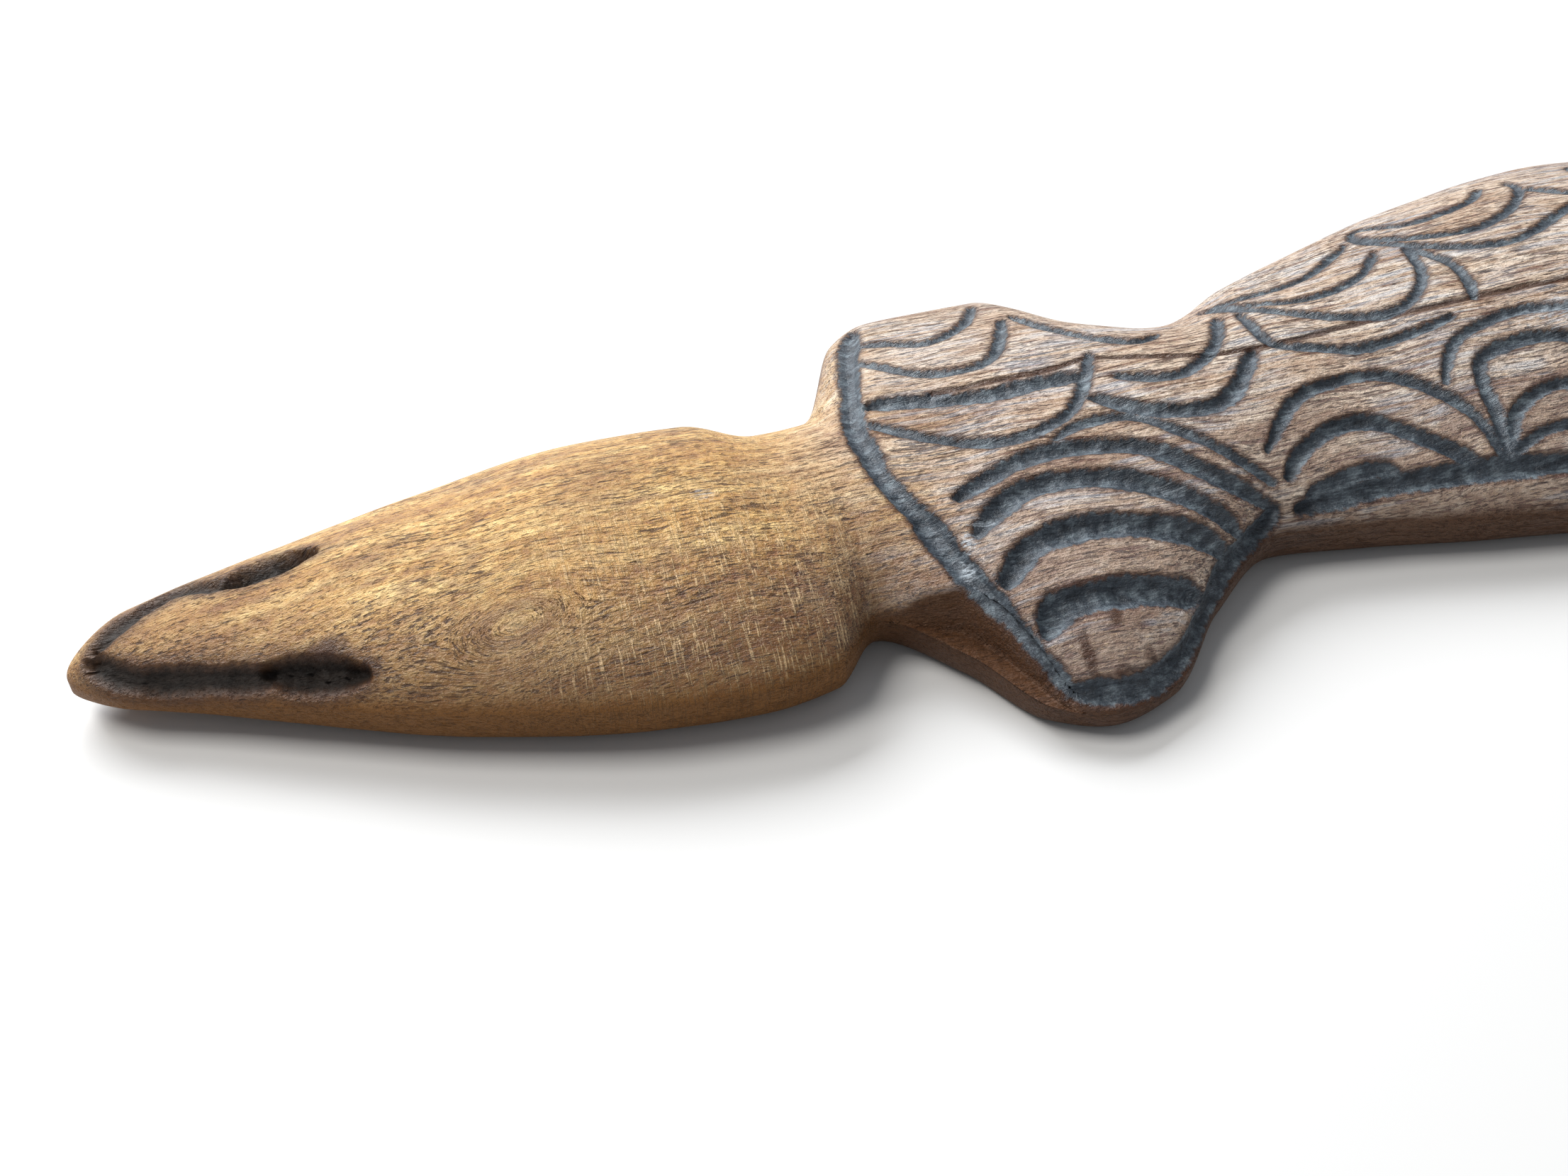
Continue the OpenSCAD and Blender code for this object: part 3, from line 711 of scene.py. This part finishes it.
def add_burns(g, p):
    """Scorch, char and the natural crack, with ragged edges; the burns are softer on the face."""
    p.uneven = g.minus(g.noise(p.flat, (1.2, 1.5, 1.5), 4, 0.65), 0.5)
    p.face = g.step(p.along, *SOOT_TO_SLATE, 1.0, 0.0)
    burn = g.plus(p.edge, g.times(p.uneven, 1.3))
    reach = g.plus(0.75, g.times(p.face, 1.3))
    p.scorch = g.step(g.math("DIVIDE", burn, reach), -0.2, 1.0, 0.85, 0.0)
    soft = g.plus(0.28, g.times(p.face, 0.8))
    p.char = g.step(g.math("DIVIDE", burn, soft), -1.0, 0.5, 1.0, 0.0)
    ragged = g.noise(p.grain, (0.4, 1.3, 1.3), 3, 0.6)
    p.crack_gap = g.minus(p.crack, g.times(ragged, 1.1))


def wood_colour(g, p):
    """A golden head and a reddish brown back, with streaks, smudges, pores, knot and rasp marks;
    painted shade darkens the near side, and painted glints light the flecks and rasp marks.
    """
    bands = g.noise(p.grain, (0.014, 0.3, 0.3), 4, 0.6, 0.5)
    tone = g.plus(g.times(bands, 0.55), g.times(p.mottle, 0.45))
    colour = g.mix(p.decorated, g.ramp(tone, HEAD_TONES), g.ramp(tone, BACK_TONES))
    colour = g.mix(g.step(p.streaks, 0.34, 0.6, 0.42, 0.0), colour, STREAK_AND_SHADE)
    colour = g.mix(g.step(p.patches, 0.45, 0.7, 0.0, 0.28), colour, STREAK_AND_SHADE)
    colour = g.mix(g.step(p.fibres, 0.32, 0.58, 0.3, 0.0), colour, STREAK_AND_SHADE)
    smudge = g.noise(p.flat, (0.11, 0.2, 0.2), 4, 0.65, 0.8)
    colour = g.mix(g.step(smudge, 0.52, 0.68, 0.0, 0.4), colour, SMUDGE)
    # the near side of the cheek is darker, in patches
    cheek = g.times(g.step(p.along, *CHEEK_START), g.step(p.along, *CHEEK_END))
    cheek = g.times(cheek, g.step(p.fraction, 0.1, -0.5, 0.0, 0.35))
    colour = g.mix(g.times(cheek, g.step(p.mottle, 0.35, 0.6, 1.0, 0.5)), colour, SMUDGE)
    # painted shade: the near side of the head is darkened, as if turned away from the light
    near_side_shade = g.times(g.step(p.fraction, -0.1, -0.95, 0.0, 0.68),
                        g.step(p.along, *NEAR_SHADE_END, 1.0, 0.2))
    colour = g.mix(near_side_shade, colour, STREAK_AND_SHADE)
    colour = g.mix(g.step(p.along, *FACE_TO_NOSE, 0.0, 0.55), colour, NOSE_TAN)
    # painted highlight: glints of light painted on the raised fibre flecks
    colour = g.mix(g.times(p.flecks, 0.3), colour, GLINT)
    colour = g.mix(g.times(p.slits, 0.7), colour, RED_SLIT)
    colour = g.mix(g.times(p.vessels, 0.8), colour, PORE)
    colour = g.mix(g.times(p.pores, 0.6), colour, PORE)
    colour = g.mix(g.step(p.knot, 1.0, 0.3, 0.0, 0.5), colour, KNOT_HEART)
    ring = g.times(g.step(p.knot, 0.9, 1.6), g.step(p.knot, 1.9, 3.2, 0.45, 0.0))
    colour = g.mix(ring, colour, STREAK_AND_SHADE)
    # the rasp marks are real tool marks; their light colour is a painted highlight, where they glint
    return g.mix(g.times(p.rasp, 0.5), colour, GLINT)


def sheen_shade_and_crack_colour(g, p, colour):
    """Painted cool sheen on the back, painted shade on the walls, and the natural crack."""
    # painted reflection: a cool satin sheen in patches along the streaks of the back, and a little
    # over its near side
    back_sheen = g.times(g.step(p.patches, 0.42, 0.62, 0.55, 0.0), p.decorated)
    back_sheen = g.times(back_sheen, g.step(p.streaks, 0.4, 0.65))
    near_sheen = g.times(p.decorated, g.step(p.fraction, 0.1, -0.6, 0.0, 0.1))
    colour = g.mix(g.math("MAXIMUM", back_sheen, near_sheen), colour, BLUE_SHEEN)
    # painted shade on the carved walls, amber under the head and darker under the legs
    wall_shade = g.mix(g.step(p.along, *HEAD_TO_LEG_WALL), HEAD_WALL_SHADE, LEG_WALL_SHADE)
    colour = g.mix(g.step(p.wall, 0.02, 0.5, 0.0, 0.93), colour, wall_shade)
    return g.mix(g.step(p.crack_gap, -0.3, 0.25, 0.9, 0.0), colour, PORE)


def burnt_colour(g, p, colour):
    """Scars, scorch round the burns, char that is sooty on the face and slate elsewhere."""
    colour = g.mix(spots(g, p, p.uneven, MARKS), colour, SCORCH)
    colour = g.mix(p.scorch, colour, SCORCH)
    ash = g.noise(p.flat, (0.5, 0.8, 0.8), 4, 0.65)
    ash = g.plus(g.times(ash, 0.7), g.times(p.fibres, 0.3))
    char = g.mix(p.face, g.ramp(ash, SLATE_TONES), g.ramp(ash, SOOT_TONES))
    colour = g.mix(p.char, colour, char)
    pale = spots(g, p, g.times(p.uneven, 3.0), PALE_MARKS)
    return g.mix(g.times(pale, g.step(p.fibres, 0.4, 0.6)), colour, PALE_SPECK)


def roughness(g, p):
    """Satin wood, a little rougher in the pores and on the walls, dull soot on the face."""
    rough = g.plus(g.times(p.fibres, 0.2), 0.36)
    rough = g.plus(rough, g.times(p.pores, 0.2))
    rough = g.plus(rough, g.times(p.wall, 0.12))
    rough = g.minus(rough, g.times(p.char, 0.06))
    return g.math("ADD", rough, g.times(g.times(p.char, p.face), 0.3), clamp=True)


def fine_relief(g, p):
    """Height of the fine relief in millimetres; the char is calmer, but has crumbs of its own."""
    height = 0.0
    for pattern, rise in WOOD_RELIEF.items():
        height = g.plus(height, g.times(getattr(p, pattern), rise))
    bare = g.minus(1.0, p.char)
    height = g.times(height, g.plus(0.25, g.times(bare, 0.75)))
    crumbs = g.noise(p.flat, (1.6, 2.2, 2.2), 4, 0.65)
    height = g.plus(height, g.times(g.times(crumbs, p.char), CRUMB_RELIEF))
    return g.minus(height, g.step(p.crack_gap, -0.3, 0.2, 0.25, 0.0))


def carving_material(name, shine):
    """Oiled hardwood with burnt lines; wood and char share it, so the seams don't show."""
    g = Graph(name)
    p = wood_patterns(g)
    add_rasp_marks(g, p)
    add_burns(g, p)
    colour = burnt_colour(g, p, sheen_shade_and_crack_colour(g, p, wood_colour(g, p)))
    g.put(g.shader.inputs["Base Color"], colour)
    g.put(g.shader.inputs["Roughness"], roughness(g, p))
    g.shader.inputs["IOR"].default_value = 1.5
    g.shader.inputs["Specular IOR Level"].default_value = shine
    bump = g.add("ShaderNodeBump", {"Height": fine_relief(g, p), "Strength": 1.0, "Distance": MM})
    g.put(g.shader.inputs["Normal"], bump.outputs["Normal"])
    return g.material


FLOOR_GREY = (0.68, 0.68, 0.68, 1)


def floor_material():
    g = Graph("pale_floor")
    g.shader.inputs["Base Color"].default_value = FLOOR_GREY
    g.shader.inputs["Roughness"].default_value = 0.9
    return g.material


# ---------------------------------------------------------------- camera, lights, floor
VIEW_STATION = 77.0
VIEW_TURN = math.radians(16)
VIEW_HEIGHT = math.radians(46)
VIEW_DISTANCE = 216.3
LENS, SENSOR = 44.0, 36.0
FLOOR_SIZE = 6.0  # metres
SKY, SKY_STRENGTH = (0.93, 0.96, 1.0, 1), 0.28
LIT_STATION = 100.0  # what the lights are aimed at
# name, azimuth and elevation in degrees, distance and size in millimetres, watts, colour
LIGHTS = [("window", -18, 38, 900, (700, 400), 13.0, (0.97, 0.985, 1.0)),
          ("overhead", -70, 60, 900, (400, 400), 5.0, (1.0, 0.97, 0.92))]


def look_at(thing, place_mm, target_mm):
    thing.location = Vector(place_mm) * MM
    direction = Vector(target_mm) - Vector(place_mm)
    thing.rotation_euler = direction.to_track_quat("-Z", "Y").to_euler()


def add_camera():
    target = Vector(place(VIEW_STATION, 0.0, 0.0))
    flat = math.cos(VIEW_HEIGHT) * VIEW_DISTANCE
    offset = Vector((-math.sin(VIEW_TURN) * flat, -math.cos(VIEW_TURN) * flat,
                     math.sin(VIEW_HEIGHT) * VIEW_DISTANCE))
    data = bpy.data.cameras.new("camera")
    data.lens, data.sensor_width = LENS, SENSOR
    data.clip_start, data.clip_end = 0.005, 20.0
    camera = bpy.data.objects.new("camera", data)
    bpy.context.scene.collection.objects.link(camera)
    look_at(camera, target + offset, target)
    bpy.context.scene.camera = camera


def add_light(name, azimuth, elevation, distance, size, power, colour):
    """An area light aimed at the shoulders, placed by its angle from +Y and its height."""
    target = Vector(place(LIT_STATION, 0.0, 0.0))
    a, e = math.radians(azimuth), math.radians(elevation)
    offset = Vector((math.sin(a) * math.cos(e), math.cos(a) * math.cos(e), math.sin(e))) * distance
    data = bpy.data.lights.new(name, "AREA")
    data.shape, data.size, data.size_y = "RECTANGLE", size[0] * MM, size[1] * MM
    data.energy, data.color = power, colour
    light = bpy.data.objects.new(name, data)
    bpy.context.scene.collection.objects.link(light)
    look_at(light, target + offset, target)


def add_surroundings():
    bpy.ops.mesh.primitive_plane_add(size=FLOOR_SIZE)
    floor = bpy.context.object
    floor.name = "floor"
    floor.data.materials.append(floor_material())
    world = bpy.data.worlds.new("studio")
    world.use_nodes = True
    background = world.node_tree.nodes["Background"]
    background.inputs["Color"].default_value = SKY
    background.inputs["Strength"].default_value = SKY_STRENGTH
    bpy.context.scene.world = world
    bpy.context.scene.view_settings.view_transform = "Standard"
    for light in LIGHTS:
        add_light(*light)


add_camera()
add_surroundings()
build_carving(carving_material("burnt_hardwood", WOOD_SHINE),
              carving_material("charred_hardwood", CHAR_SHINE))
